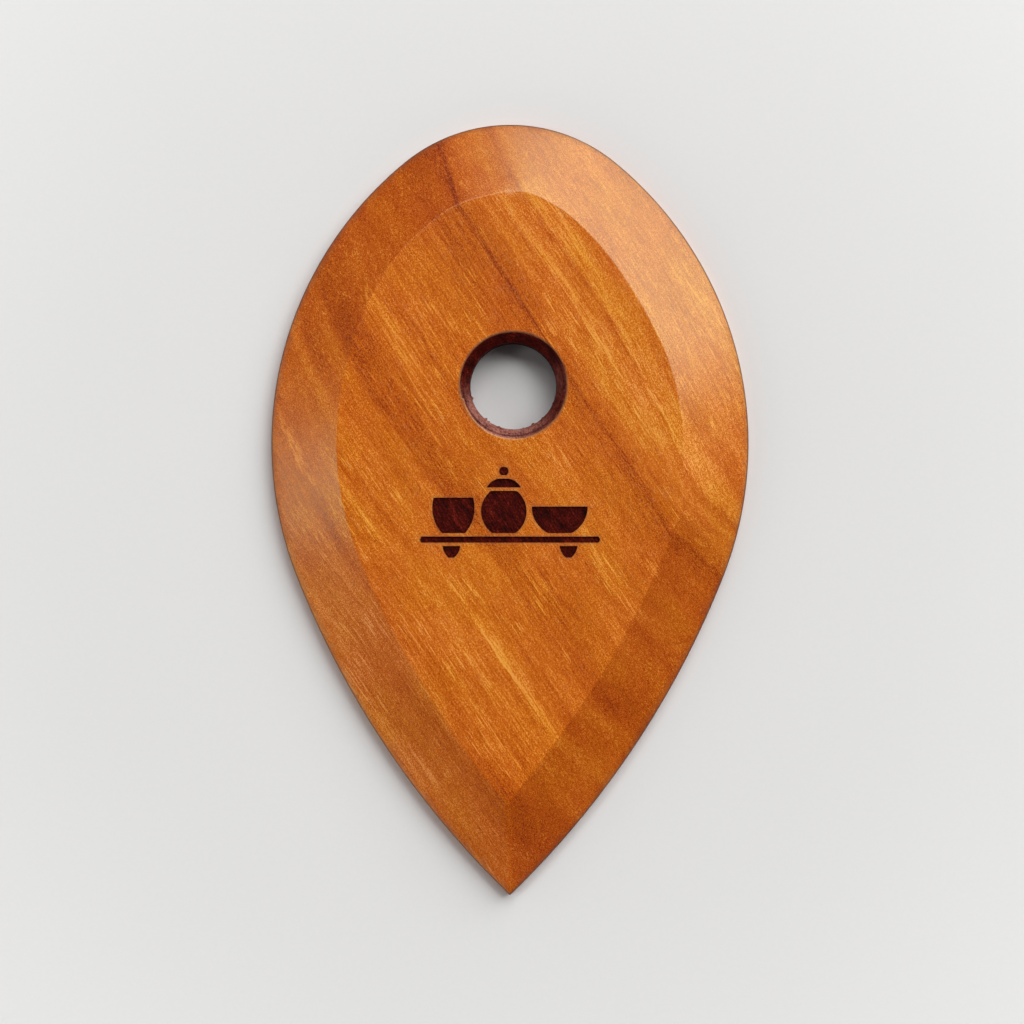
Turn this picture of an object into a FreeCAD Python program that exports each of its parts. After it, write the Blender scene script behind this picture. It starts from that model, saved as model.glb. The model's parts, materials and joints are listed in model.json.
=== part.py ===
"""A potter's rib: a flat teardrop of cherry wood that smooths and shapes clay.

The rib is one piece of wood. Its back is flat, a wide bevel runs round the front down to a thin
working edge, a thumb hole with a countersunk rim goes through it, and a small picture of pots on a
shelf is engraved below the hole.

Frame, in millimetres: the flat back lies on z = 0 and the front faces +Z. +Y points to the round
end and -Y to the pointed end. The origin is the middle of the length and width, on the back.
"""

import FreeCAD
import Part
import math
import os

import Sketcher

# The driving dimensions, in millimetres. Each becomes a cell of the spreadsheet under its alias.
DIMENSIONS = {
    # Outline: one crown arc at the round end, then a shoulder arc and a flank arc on each side.
    "rib_length": 114.3,
    "rib_width": 70.8,
    "crown_radius": 24.6,
    "shoulder_radius": 53.9,
    "flank_radius": 133.5,
    # Section through the edge.
    "stock_thickness": 6.35,
    "edge_land": 2.2,
    "bevel_width": 9.9,
    "back_easing": 0.3,
    # Thumb hole, drilled a little to the right of the centreline.
    "hole_diameter": 12.7,
    "hole_rim_diameter": 15.6,
    "hole_rim_angle": 90.0,
    "hole_height": 18.3,
    "hole_offset": 0.5,
    # Engraving.
    "mark_depth": 0.3,
}

# The engraved picture is made of rounded shapes, each with a flat foot and a flat top. For each:
# the middle of its foot (place, stand), its height, its widths at the foot and at the top, and
# the radius of its bulging sides.
MARK_SHAPES = {
    "left_bracket": (-8.6, -7.0, 1.7, 0.8, 2.6, 2.4),
    "right_bracket": (8.6, -7.0, 1.7, 0.8, 2.6, 2.4),
    "shelf": (0.0, -4.8, 0.9, 26.0, 26.0, 0.6),
    "cup": (-8.3, -3.4, 5.2, 3.4, 5.8, 5.6),
    "jar": (-0.9, -3.4, 6.2, 3.4, 3.8, 3.9),
    "lid": (-0.9, 3.3, 1.3, 5.0, 1.5, 2.5),
    "knob": (-0.9, 5.1, 1.2, 0.7, 0.7, 0.7),
    "bowl": (7.3, -3.4, 3.9, 3.4, 8.2, 4.3),
}
MARK_SIZES = ("place", "stand", "height", "foot", "top", "side")

SHEET = "Dimensions"
# Sketcher's numbers for the sketch's own origin and axes, and for the points of an edge.
X_AXIS, Y_AXIS = -1, -2
ORIGIN = X_AXIS
START, END, CENTRE = 1, 2, 3
UP = FreeCAD.Vector(0, 0, 1)


def cell(name):
    return f"{SHEET}.{name}"


def vector(x, y):
    return FreeCAD.Vector(x, y, 0)


def mirrored(point):
    return vector(-point.x, point.y)


def arc(centre, radius, first, last):
    """An arc, counterclockwise from one angle to another, both in radians."""
    return Part.ArcOfCircle(Part.Circle(centre, UP, radius), first, last)


def add_sheet(doc):
    """Puts the driving dimensions in a spreadsheet, one row each: its name, then its value."""
    sheet = doc.addObject("Spreadsheet::Sheet", SHEET)
    cells = dict(DIMENSIONS)
    for shape, values in MARK_SHAPES.items():
        cells.update({f"{shape}_{size}": value for size, value in zip(MARK_SIZES, values)})
    for row, (alias, value) in enumerate(cells.items(), start=1):
        sheet.set(f"A{row}", alias)
        sheet.set(f"B{row}", str(value))
        sheet.setAlias(f"B{row}", alias)
    doc.recompute()


def add_sketch(body, name, **offset):
    """A sketch parallel to the back. Each offset, x, y or z, is an expression."""
    sketch = body.newObject("Sketcher::SketchObject", name)
    plane = next(o for o in body.Origin.OriginFeatures if o.Role == "XY_Plane")
    sketch.AttachmentSupport = [(plane, "")]
    sketch.MapMode = "FlatFace"
    for axis, expression in offset.items():
        sketch.setExpression(f".AttachmentOffset.Base.{axis}", expression)
    return sketch


def tie(sketch, *constraints):
    """Adds geometric constraints."""
    for constraint in constraints:
        sketch.addConstraint(Sketcher.Constraint(*constraint))


def bind(sketch, name, expression, *constraint):
    """Adds a dimension, names it and binds it to an expression of the spreadsheet's cells."""
    index = sketch.addConstraint(Sketcher.Constraint(*constraint))
    sketch.renameConstraint(index, name)
    sketch.setExpression(f"Constraints.{name}", expression)


def outline_layout():
    """Where the outline's right-hand arcs lie: their centres, and the directions from those
    centres to the points where they join. Each pair of neighbours is tangent."""
    crown, shoulder, flank = (DIMENSIONS[f"{n}_radius"] for n in ("crown", "shoulder", "flank"))
    half_length = DIMENSIONS["rib_length"] / 2
    crown_centre = vector(0, half_length - crown)
    # The shoulder reaches the full width level with its centre.
    shoulder_x = DIMENSIONS["rib_width"] / 2 - shoulder
    drop = math.sqrt((shoulder - crown) ** 2 - shoulder_x**2)
    shoulder_centre = crown_centre + vector(shoulder_x, -drop)
    upper_join = math.atan2(drop, -shoulder_x)
    # The flank's centre is at a known distance from the shoulder's centre and from the tip.
    tip = vector(0, -half_length)
    to_tip = tip - shoulder_centre
    reach = flank - shoulder
    gap = to_tip.Length
    turn = math.acos((gap**2 + reach**2 - flank**2) / (2 * gap * reach))
    heading = math.atan2(to_tip.y, to_tip.x) - turn
    flank_centre = shoulder_centre + vector(reach * math.cos(heading), reach * math.sin(heading))
    lower_join = heading + math.pi
    from_flank = tip - flank_centre
    tip_direction = math.atan2(from_flank.y, from_flank.x)
    return crown_centre, shoulder_centre, flank_centre, upper_join, lower_join, tip_direction


def draw_outline(sketch):
    """The teardrop, in five arcs: the crown, then a shoulder and a flank on each side."""
    crown_at, shoulder_at, flank_at, upper, lower, at_tip = outline_layout()
    crown_r, shoulder_r, flank_r = (DIMENSIONS[f"{n}_radius"] for n in ("crown", "shoulder", "flank"))
    crown, shoulder, flank, left_flank, left_shoulder = sketch.addGeometry(
        [
            arc(crown_at, crown_r, upper, math.pi - upper),
            arc(shoulder_at, shoulder_r, lower, upper),
            arc(flank_at, flank_r, at_tip, lower),
            arc(mirrored(flank_at), flank_r, math.pi - lower, math.pi - at_tip),
            arc(mirrored(shoulder_at), shoulder_r, math.pi - upper, math.pi - lower),
        ]
    )
    tie(
        sketch,
        ("Tangent", crown, START, shoulder, END),
        ("Tangent", shoulder, START, flank, END),
        ("Tangent", crown, END, left_shoulder, START),
        ("Tangent", left_shoulder, END, left_flank, START),
        ("Coincident", flank, START, left_flank, END),
        ("PointOnObject", crown, CENTRE, Y_AXIS),
        ("PointOnObject", flank, START, Y_AXIS),
        ("Symmetric", shoulder, CENTRE, left_shoulder, CENTRE, Y_AXIS),
        ("Equal", flank, left_flank),
    )
    bind(sketch, "crown", cell("crown_radius"), "Radius", crown, crown_r)
    bind(sketch, "shoulder", cell("shoulder_radius"), "Radius", shoulder, shoulder_r)
    bind(sketch, "flank", cell("flank_radius"), "Radius", flank, flank_r)
    crown_height = f"{cell('rib_length')} / 2 - {cell('crown_radius')}"
    bind(sketch, "crown_height", crown_height, "DistanceY", ORIGIN, START, crown, CENTRE, crown_at.y)
    shoulder_reach = f"{cell('shoulder_radius')} - {cell('rib_width')} / 2"
    shoulder_ends = (shoulder, CENTRE, ORIGIN, START, -shoulder_at.x)
    bind(sketch, "shoulder_reach", shoulder_reach, "DistanceX", *shoulder_ends)
    half_length = DIMENSIONS["rib_length"] / 2
    bind(sketch, "tip", f"{cell('rib_length')} / 2", "DistanceY", flank, START, ORIGIN, START, half_length)


def draw_mark_shape(sketch, name):
    """A closed shape standing on the sketch's X axis, with flat foot and top and bulging sides."""
    _, _, height, foot, top, side = MARK_SHAPES[name]
    foot_corner, top_corner = vector(foot / 2, 0), vector(top / 2, height)
    chord = top_corner - foot_corner
    rise = math.sqrt(side**2 - (chord.Length / 2) ** 2) / chord.Length
    centre = (foot_corner + top_corner) / 2 + vector(-chord.y * rise, chord.x * rise)
    first = math.atan2(foot_corner.y - centre.y, foot_corner.x - centre.x)
    last = math.atan2(top_corner.y - centre.y, top_corner.x - centre.x)
    foot_line, right, top_line, left = sketch.addGeometry(
        [
            Part.LineSegment(mirrored(foot_corner), foot_corner),
            arc(centre, side, first, last),
            Part.LineSegment(top_corner, mirrored(top_corner)),
            arc(mirrored(centre), side, math.pi - last, math.pi - first),
        ]
    )
    tie(
        sketch,
        ("Coincident", foot_line, END, right, START),
        ("Coincident", right, END, top_line, START),
        ("Coincident", top_line, END, left, START),
        ("Coincident", left, END, foot_line, START),
        ("Symmetric", foot_line, START, foot_line, END, Y_AXIS),
        ("Symmetric", top_line, START, top_line, END, Y_AXIS),
        ("PointOnObject", foot_line, START, X_AXIS),
        ("Equal", right, left),
    )
    bind(sketch, "foot", cell(f"{name}_foot"), "DistanceX", foot_line, START, foot_line, END, foot)
    bind(sketch, "top", cell(f"{name}_top"), "DistanceX", top_line, END, top_line, START, top)
    bind(sketch, "height", cell(f"{name}_height"), "DistanceY", foot_line, END, top_line, START, height)
    bind(sketch, "side", cell(f"{name}_side"), "Radius", right, side)


def edges_at(feature, height):
    """Names of the feature's edges that lie wholly at one height."""
    names = []
    for number, edge in enumerate(feature.Shape.Edges, start=1):
        box = edge.BoundBox
        if abs(box.ZMin - height) < 1e-6 and abs(box.ZMax - height) < 1e-6:
            names.append(f"Edge{number}")
    return names


def add_blank(body):
    """The wood before any cut. The outline lies where the bevel meets the working edge: below it
    the edge is straight, and above it the bevel leans in to the flat of the front."""
    outline = add_sketch(body, "outline", z=cell("edge_land"))
    draw_outline(outline)
    edge = body.newObject("PartDesign::Pad", "working_edge")
    edge.Profile = outline
    edge.Reversed = True
    edge.setExpression("Length", cell("edge_land"))
    front = body.newObject("PartDesign::Pad", "bevelled_front")
    front.Profile = outline
    bevel_height = f"{cell('stock_thickness')} - {cell('edge_land')}"
    front.setExpression("Length", bevel_height)
    front.setExpression("TaperAngle", f"-atan({cell('bevel_width')} / ({bevel_height}))")
    return front


def add_thumb_hole(body):
    """The thumb hole, drilled right through, with a countersunk rim on the front."""
    place = {"x": cell("hole_offset"), "y": cell("hole_height"), "z": cell("stock_thickness")}
    sketch = add_sketch(body, "thumb_hole_place", **place)
    radius = DIMENSIONS["hole_diameter"] / 2
    circle = sketch.addGeometry(Part.Circle(vector(0, 0), UP, radius))
    tie(sketch, ("Coincident", circle, CENTRE, ORIGIN, START))
    bind(sketch, "radius", f"{cell('hole_diameter')} / 2", "Radius", circle, radius)
    hole = body.newObject("PartDesign::Hole", "thumb_hole")
    hole.Profile = sketch
    body.Document.recompute()
    hole.DepthType = "ThroughAll"
    hole.HoleCutType = "Countersink"
    hole.setExpression("Diameter", cell("hole_diameter"))
    hole.setExpression("HoleCutDiameter", cell("hole_rim_diameter"))
    hole.setExpression("HoleCutCountersinkAngle", cell("hole_rim_angle"))
    return hole


def ease_back(body, hole):
    """Rounds the edges of the back, at the outline and at the thumb hole."""
    easing = body.newObject("PartDesign::Fillet", "back_easing")
    easing.Base = (hole, edges_at(hole, 0))
    easing.setExpression("Radius", cell("back_easing"))
    return easing


def engrave(body, name):
    """One shape of the engraved picture, cut down from the front face."""
    place = {"x": cell(f"{name}_place"), "y": cell(f"{name}_stand"), "z": cell("stock_thickness")}
    sketch = add_sketch(body, f"{name}_shape", **place)
    draw_mark_shape(sketch, name)
    pocket = body.newObject("PartDesign::Pocket", f"{name}_engraving")
    pocket.Profile = sketch
    pocket.setExpression("Length", cell("mark_depth"))
    return pocket


def add_rib(doc):
    """The whole rib, one feature after another. Each cut has to take wood away."""
    rib = doc.addObject("PartDesign::Body", "wooden_rib")
    rib.Label = "wooden_rib"
    rib.Placement = FreeCAD.Placement()
    blank = add_blank(rib)
    hole = add_thumb_hole(rib)
    doc.recompute()
    cuts = [hole, ease_back(rib, hole)]
    cuts += [engrave(rib, name) for name in MARK_SHAPES]
    doc.recompute()
    volume = blank.Shape.Volume
    for cut in cuts:
        if cut.Shape.Volume >= volume:
            raise RuntimeError(f"{cut.Name} took nothing away")
        volume = cut.Shape.Volume
    return rib


def check(doc, bodies):
    """Stops if any feature failed, or a body isn't one valid solid."""
    for item in doc.Objects:
        if {"Invalid", "Error"} & set(item.State):
            raise RuntimeError(f"{item.Name} failed: {item.State}")
    for body in bodies:
        if body.Shape.isNull() or not body.Shape.isValid() or len(body.Shape.Solids) != 1:
            raise RuntimeError(f"{body.Label} isn't one valid solid")


def main():
    doc = FreeCAD.newDocument("potters_rib")
    add_sheet(doc)
    bodies = [add_rib(doc)]
    check(doc, bodies)
    os.makedirs("parts", exist_ok=True)
    for body in bodies:
        body.Shape.exportStep(f"parts/{body.Label}.step")


main()
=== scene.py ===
import json
import math

import bpy
import numpy as np
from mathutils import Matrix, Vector, geometry, kdtree, noise


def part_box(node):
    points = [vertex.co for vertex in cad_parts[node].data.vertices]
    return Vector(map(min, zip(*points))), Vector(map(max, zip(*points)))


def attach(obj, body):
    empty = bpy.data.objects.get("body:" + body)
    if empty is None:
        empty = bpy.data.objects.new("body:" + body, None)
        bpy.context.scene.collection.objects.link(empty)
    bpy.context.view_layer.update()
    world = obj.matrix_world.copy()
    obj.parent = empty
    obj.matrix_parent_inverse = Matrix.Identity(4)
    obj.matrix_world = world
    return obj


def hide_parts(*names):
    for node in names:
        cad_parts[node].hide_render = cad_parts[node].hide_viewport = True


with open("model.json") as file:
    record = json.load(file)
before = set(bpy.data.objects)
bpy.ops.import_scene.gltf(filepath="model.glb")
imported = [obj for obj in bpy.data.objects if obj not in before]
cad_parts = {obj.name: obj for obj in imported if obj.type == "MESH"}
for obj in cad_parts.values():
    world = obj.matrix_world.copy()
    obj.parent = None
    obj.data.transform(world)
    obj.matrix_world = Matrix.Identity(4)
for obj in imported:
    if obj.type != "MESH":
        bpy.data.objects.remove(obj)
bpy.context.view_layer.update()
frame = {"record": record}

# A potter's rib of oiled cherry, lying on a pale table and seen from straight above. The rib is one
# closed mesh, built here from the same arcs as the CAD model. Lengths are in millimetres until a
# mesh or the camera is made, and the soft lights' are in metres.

MM = 0.001
BODY = "root"
NODE = "wooden_rib"

# Sizes and places that the frame gives.
low, high = (np.array(corner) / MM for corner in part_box(NODE))
HALF_WIDTH, TOP_END, THICKNESS = high
TIP_END = low[1]
BORE = next(mount for mount in frame["record"]["mounts"] if mount["name"] == "thumb_hole")
HOLE_AT = np.array(BORE["pos_m"][:2]) / MM
HOLE_RADIUS = BORE["dims"]["r_mm"]
WALL_TOP = BORE["pos_m"][2] / MM + BORE["dims"]["length_mm"] / 2

# The design's other sizes.
CROWN_RADIUS = 24.6
SHOULDER_RADIUS = 53.9
FLANK_RADIUS = 133.5
EDGE_LAND = 2.2
BEVEL_WIDTH = 9.95
BACK_EASING = 0.3
RIM_RADIUS = 7.8
MARK_DEPTH = 0.3

# The engraved picture of pots on a shelf, as in the CAD model: each shape stands on a straight foot,
# its sides are arcs, and its top is straight: (place, stand, height, foot, top, side radius).
MARK_SHAPES = {
    "left_bracket": (-8.6, -7.0, 1.7, 0.8, 2.6, 2.4),
    "right_bracket": (8.6, -7.0, 1.7, 0.8, 2.6, 2.4),
    "shelf": (0.0, -4.8, 0.9, 26.0, 26.0, 0.6),
    "cup": (-8.3, -3.4, 5.2, 3.4, 5.8, 5.6),
    "jar": (-0.9, -3.4, 6.2, 3.4, 3.8, 3.9),
    "lid": (-0.9, 3.3, 1.3, 5.0, 1.5, 2.5),
    "knob": (-0.9, 5.1, 1.2, 0.7, 0.7, 0.7),
    "bowl": (7.3, -3.4, 3.9, 3.4, 8.2, 4.3),
}

# Hand work. The bevel was sanded wider or narrower towards some directions, given in degrees with
# 0 to the right and 90 to the round end: (direction, spread, extra width).
UNEVEN_BEVEL = (
    (31, 16, 1.0),
    (60, 18, 0.7),
    (103, 18, 0.6),
    (143, 12, -0.65),
    (-12, 9, -0.6),
    (-36, 8, 0.35),
    (219, 5, -0.4),
)
RIDGE_SOFTNESS = 0.045
HIP_SOFTNESS = 0.3
RIPPLE_HEIGHT = 0.03
RIPPLE_LENGTH = 7.0
RIPPLE_FADE = (5.6, 6.6)  # the heights between which the bevel's ripples die away
ARRIS = 0.25  # how far in from the edge its rounded corner reaches
ARRIS_DROP = 0.3  # how far down the edge it reaches

# Slivers left standing on the lip of the thumb hole: (direction, half-width in degrees, length).
BURRS = (
    (197, 3.0, 0.30),
    (231, 1.8, 0.34),
    (236, 1.2, 0.16),
    (251, 2.0, 0.18),
    (268, 1.0, 0.08),
    (283, 1.4, 0.12),
    (297, 2.6, 0.26),
    (312, 1.6, 0.14),
    (336, 1.8, 0.12),
    (35, 2.5, 0.14),
    (62, 2.0, 0.12),
)
CUTTER_START = 195  # the direction in which the rim's cutter went in, where it left a step
CUTTER_STEP = 0.25
CUTTER_SETTLING = 30  # in degrees: the step dies away over about this much of the rim
GROOVE_HEIGHT = 0.024  # how far the cutter's grooves go above and below the rim's cut
GROOVE_SPACING = 0.4
GROOVE_FADE = (0.1, 0.4)  # they grow over this stretch in from the rim
RIM_SOFTNESS = 0.22
RIM_WAVE = 0.05
RIM_LOBES = 0.04  # how far three lobes stand out from the rim's circle
LIP_WAVE = 0.05
LIP_WEAR = 0.06  # how much further out than the drilled bore the lip is
BURR_DEPTH = 0.3  # the slivers thin out over this depth
BURR_POWER = 0.6  # under 1, so that their ends are blunt
BORE_WAVE = 0.03
UNDER_LIP_RADIUS = HOLE_RADIUS + 0.05
BORE_RADIUS = HOLE_RADIUS + 0.03

# The picture's burned floor: (how far it goes up and down, length of its waves, seed).
FLOOR_WAVES = ((0.05, 0.45, 3.1), (0.03, 0.2, 8.3))

# Where the burned rim is painted paler, as painted sheen on its lit side: (direction, spread in
# degrees, amount).
RIM_SHEEN_PLACES = (
    (250, 40, 0.95),
    (205, 18, 0.40),
    (300, 25, 0.25),
    (5, 22, 0.18),
)

# The rim's dark line: how far in from the rim's edge it starts, is full, starts to fade and ends.
RIM_LINE = (0.6, 0.42, 0.32, 0.18)
RIM_LINE_DARKNESS = 0.7

# How much the wood is browned, from 0 to 1, and how far that reaches.
EDGE_SCORCH = 0.25
EDGE_SCORCH_REACH = (0.08, 0.32)
ARRIS_SCORCH = 0.62  # more than on the rest of the edge
ARRIS_SCORCH_START = 1.4  # the height from which it grows
HOLE_SCORCH = 0.9
HOLE_SCORCH_REACH = 0.45
MARK_SCORCH = 0.30
MARK_SCORCH_REACH = 0.22

# Spacing of the mesh's points.
OUTLINE_SPACING = 0.6
GRID_SPACING = 0.95
BACK_SPACING = 4.0
BACK_CLEARANCE = 1.5  # the room between the back's edges and the grid on it
MARK_SPACING = 0.22
MARK_GRID_SPACING = MARK_SPACING * 1.2
MARK_MARGIN = 1.0  # how far the fine grid reaches round the picture
SHARP_ANGLE = 38  # in degrees: a corner sharper than this shows as an edge
HOLE_STEPS = 288
HOLE_DIRECTIONS = np.arange(HOLE_STEPS) * 360 / HOLE_STEPS
HOLE_FIELD = 8.7  # the radius up to which the mesh runs in rings round the hole

# Rows of points: beside the ridge, by how far inwards of it they are, and beside the hip.
RIDGE_ROWS = (-0.9, -0.5, -0.25, -0.1, 0, 0.1, 0.25, 0.5, 0.9)
HIP_ROWS = (0, 0.15, -0.15, 0.4, -0.4, 0.7, -0.7)
HIP_START = 1.2  # the middle row starts that far above the tip
HIP_SPREAD = 2.2  # the others start higher, by so many times their distance from the middle
HIP_END = -40.0  # where the rows stop
HIP_SPACING = 0.5
MIDDLE_CLEARANCE = 0.7  # no row beside the ridge comes nearer to the middle than this
HIP_CLEARANCE = 0.2  # nor nearer to the hip's points
EDGE_CLEARANCE = 0.25  # the hip's rows keep this far from the edge

# Rows of points down the edge and the hole, from the front to the back.
ARRIS_SHARES = (0.7, 0.4, 0.15)  # how much of the rounded corner is still to come
EDGE_HEIGHTS = (1.9, 1.3, 0.8, BACK_EASING)
EDGE_EASING = (22.5, 45, 67.5, 90)  # in degrees, round the eased corner at the back
FIELD_SHARES = (0.75, 0.5, 0.3, 0.18, 0.08)  # of the way from the rim out to the field's end
RIM_ROWS = 22
LIP_DEPTHS = (0.04, 0.1, 0.2, 0.35, 0.6, 0.9, 1.3)
BORE_HEIGHTS = (2.6, 1.6, 0.9, BACK_EASING)
BORE_EASING = (30, 60, 90)


# ---- The outline: tangent arcs, and how far any point is from it ------------------------------


def outline_arcs():
    """The right-hand arcs as (centre, radius, first angle, last angle), crown first."""
    crown = np.array([0.0, TOP_END - CROWN_RADIUS])
    shoulder_x = HALF_WIDTH - SHOULDER_RADIUS
    drop = math.sqrt((SHOULDER_RADIUS - CROWN_RADIUS) ** 2 - shoulder_x**2)
    shoulder = crown + [shoulder_x, -drop]
    upper = math.atan2(drop, -shoulder_x)
    tip = np.array([0.0, TIP_END])
    to_tip = tip - shoulder
    reach = FLANK_RADIUS - SHOULDER_RADIUS
    gap = math.hypot(*to_tip)
    turn = math.acos((gap**2 + reach**2 - FLANK_RADIUS**2) / (2 * gap * reach))
    heading = math.atan2(to_tip[1], to_tip[0]) - turn
    flank = shoulder + [reach * math.cos(heading), reach * math.sin(heading)]
    lower = heading + math.pi
    at_tip = math.atan2(tip[1] - flank[1], tip[0] - flank[0])
    return (
        (crown, CROWN_RADIUS, upper, math.pi / 2),
        (shoulder, SHOULDER_RADIUS, lower, upper),
        (flank, FLANK_RADIUS, at_tip, lower),
    )


ARCS = outline_arcs()
FLANK_OVERRUN = 0.03  # in radians: the flank counts that far past its ends, to meet at the hip


def heading_points(centre, radii, angles):
    """Points at those distances from a centre, or at one distance, in those directions."""
    return centre + np.stack([radii * np.cos(angles), radii * np.sin(angles)], 1)


def outline_row(inset):
    """A closed row of points along the outline moved inwards, counterclockwise from the tip's
    corner. Every row has the same number of points, whatever its inset."""
    right = []
    for centre, radius, first, last in reversed(ARCS):
        count = round((last - first) * radius / OUTLINE_SPACING)
        if radius == FLANK_RADIUS:
            first = -math.acos(-centre[0] / (radius - inset))
        angles = np.linspace(first, last, count, endpoint=False)
        right.append(heading_points(centre, radius - inset, angles))
    right = np.concatenate(right)
    top = np.array([[0.0, TOP_END - inset]])
    return np.concatenate([right, top, right[:0:-1] * [-1, 1]])


def bevel_width(facing):
    """The bevel's width where the edge faces those directions, in radians."""
    width = np.full(len(facing), BEVEL_WIDTH)
    for direction, spread, extra in UNEVEN_BEVEL:
        away = (np.degrees(facing) - direction) / spread
        width += extra * np.exp(-(away**2))
    return width


def ridge_row(offset):
    """Points beside the ridge where the bevel meets the flat, that far inwards of it."""
    rows = []
    for side in (1, -1):
        for centre, radius, first, last in ARCS:
            count = round((last - first) * radius / OUTLINE_SPACING)
            angles = np.linspace(first, last, count, endpoint=False)
            facing = angles if side > 0 else math.pi - angles
            row = heading_points(centre, radius - bevel_width(facing) - offset, angles)
            rows.append(row[row[:, 0] > MIDDLE_CLEARANCE] * [side, 1])
    return np.concatenate(rows)


def side_distance(points, side):
    """How far each point is inside one side of the outline, and which way that edge faces."""
    distance = np.full(len(points), 1e3)
    facing = np.zeros(len(points))
    for centre, radius, first, last in ARCS:
        offset = points * [side, 1] - centre
        angle = np.arctan2(offset[:, 1], offset[:, 0])
        gap = radius - np.hypot(offset[:, 0], offset[:, 1])
        slack = FLANK_OVERRUN if radius == FLANK_RADIUS else 1e-6
        nearer = (angle > first - slack) & (angle < last + slack) & (gap < distance)
        distance = np.where(nearer, gap, distance)
        facing = np.where(nearer, angle if side > 0 else math.pi - angle, facing)
    return distance, facing


def smooth_min(first, second, softness):
    """The lesser of two values, with the corner between them rounded."""
    share = np.clip(0.5 + 0.5 * (second - first) / softness, 0, 1)
    return second + (first - second) * share - softness * share * (1 - share)


def smooth_step(values, start, end):
    share = np.clip((values - start) / (end - start), 0, 1)
    return share * share * (3 - 2 * share)


def ripple(points, length, seed):
    """Smooth noise between about -1 and 1 at the points, with waves of that length."""
    return np.array([noise.noise(Vector((x / length, y / length, seed))) for x, y in points])


def front_height(points):
    """The front's height: a bevel that rises from the edge to the flat, with the two sides' bevels
    meeting in a soft hip above the tip."""
    beyond = THICKNESS + 1  # where the bevel is above the flat, its height doesn't matter
    sides = []
    for side in (1, -1):
        distance, facing = side_distance(points, side)
        slope = (THICKNESS - EDGE_LAND) / bevel_width(facing)
        sides.append(np.minimum(EDGE_LAND + slope * distance, beyond))
    bevel = smooth_min(*sides, HIP_SOFTNESS)
    rippled = 1 - smooth_step(bevel, *RIPPLE_FADE)
    bevel += RIPPLE_HEIGHT * rippled * ripple(points, RIPPLE_LENGTH, 1.7)
    return smooth_min(bevel, np.full(len(points), THICKNESS), RIDGE_SOFTNESS)


# ---- The thumb hole ---------------------------------------------------------------------------


def turned_from(directions, start):
    """Degrees from one direction to others, between -180 and 180."""
    return (directions - start + 180) % 360 - 180


def round_hole(points):
    """Each point's distance from the hole's axis, and its direction in degrees."""
    offset = points - HOLE_AT
    directions = np.degrees(np.arctan2(offset[:, 1], offset[:, 0]))
    return np.hypot(offset[:, 0], offset[:, 1]), directions


def rim_radius(directions):
    """Where the rim's cut meets the flat. It steps in where the cutter started."""
    past_start = (directions - CUTTER_START) % 360
    circle = heading_points(0, RIM_RADIUS, np.radians(directions))
    wavy = RIM_WAVE * ripple(circle, 1.3, 2.6) + RIM_LOBES * np.sin(np.radians(3 * directions))
    return RIM_RADIUS - CUTTER_STEP * np.exp(-past_start / CUTTER_SETTLING) + wavy


def lip_radius(directions):
    """The lip of the hole where the rim's cut meets the bore, with its burrs."""
    circle = heading_points(0, HOLE_RADIUS, np.radians(directions))
    radius = HOLE_RADIUS + LIP_WEAR + LIP_WAVE * ripple(circle, 1.1, 5.2)
    for at, half_width, length in BURRS:
        away = np.abs(turned_from(directions, at)) / half_width
        radius -= length * np.clip(1 - away, 0, 1) ** BURR_POWER
    return radius


def rim_height(points):
    """The height of the countersunk rim's cut, which is above the front outside it."""
    radius, directions = round_hole(points)
    slope = (THICKNESS - WALL_TOP) / (RIM_RADIUS - HOLE_RADIUS)
    grooves = GROOVE_HEIGHT * np.sin(2 * math.pi * radius / GROOVE_SPACING)
    grooves *= smooth_step(RIM_RADIUS - radius, *GROOVE_FADE)
    return THICKNESS + (radius - rim_radius(directions)) * slope + grooves


def top_height(points):
    """The height of the front with the rim's cut in it."""
    return smooth_min(front_height(points), rim_height(points), RIM_SOFTNESS)


# ---- The engraved picture ---------------------------------------------------------------------


def side_arc(start, end, radius):
    """Points along an arc that bulges to the right of the way from start to end, which it omits."""
    chord = end - start
    length = math.hypot(*chord)
    rise = math.sqrt(radius**2 - (length / 2) ** 2) / length
    centre = (start + end) / 2 + np.array([-chord[1], chord[0]]) * rise
    first = math.atan2(*(start - centre)[::-1])
    sweep = 2 * math.asin(length / (2 * radius))
    count = max(3, round(sweep * radius / MARK_SPACING))
    angles = first + np.linspace(0, sweep, count, endpoint=False)
    return heading_points(centre, radius, angles)


def straight(start, end):
    """Points along a straight line from start to end, which it omits."""
    count = max(2, round(math.hypot(*(end - start)) / MARK_SPACING))
    return start + (end - start) * np.linspace(0, 1, count, endpoint=False)[:, None]


def mark_loop(place, stand, height, foot, top, side):
    """The outline of one engraved shape, counterclockwise."""
    corners = np.array([[-foot / 2, 0], [foot / 2, 0], [top / 2, height], [-top / 2, height]])
    low_left, low_right, high_right, high_left = corners + [place, stand]
    return np.concatenate(
        [
            straight(low_left, low_right),
            side_arc(low_right, high_right, side),
            straight(high_right, high_left),
            side_arc(high_left, low_left, side),
        ]
    )


def mark_loops():
    return [mark_loop(*shape) for shape in MARK_SHAPES.values()]


def inside_loop(points, loop):
    """Which points are inside a closed loop, by counting the edges to their right."""
    inside = np.zeros(len(points), bool)
    for (x0, y0), (x1, y1) in zip(loop, np.roll(loop, -1, 0)):
        if y0 == y1:
            continue
        spans = (points[:, 1] < y0) != (points[:, 1] < y1)
        crossing = x0 + (points[:, 1] - y0) * (x1 - x0) / (y1 - y0)
        inside ^= spans & (points[:, 0] < crossing)
    return inside


# ---- The mesh ---------------------------------------------------------------------------------


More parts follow.
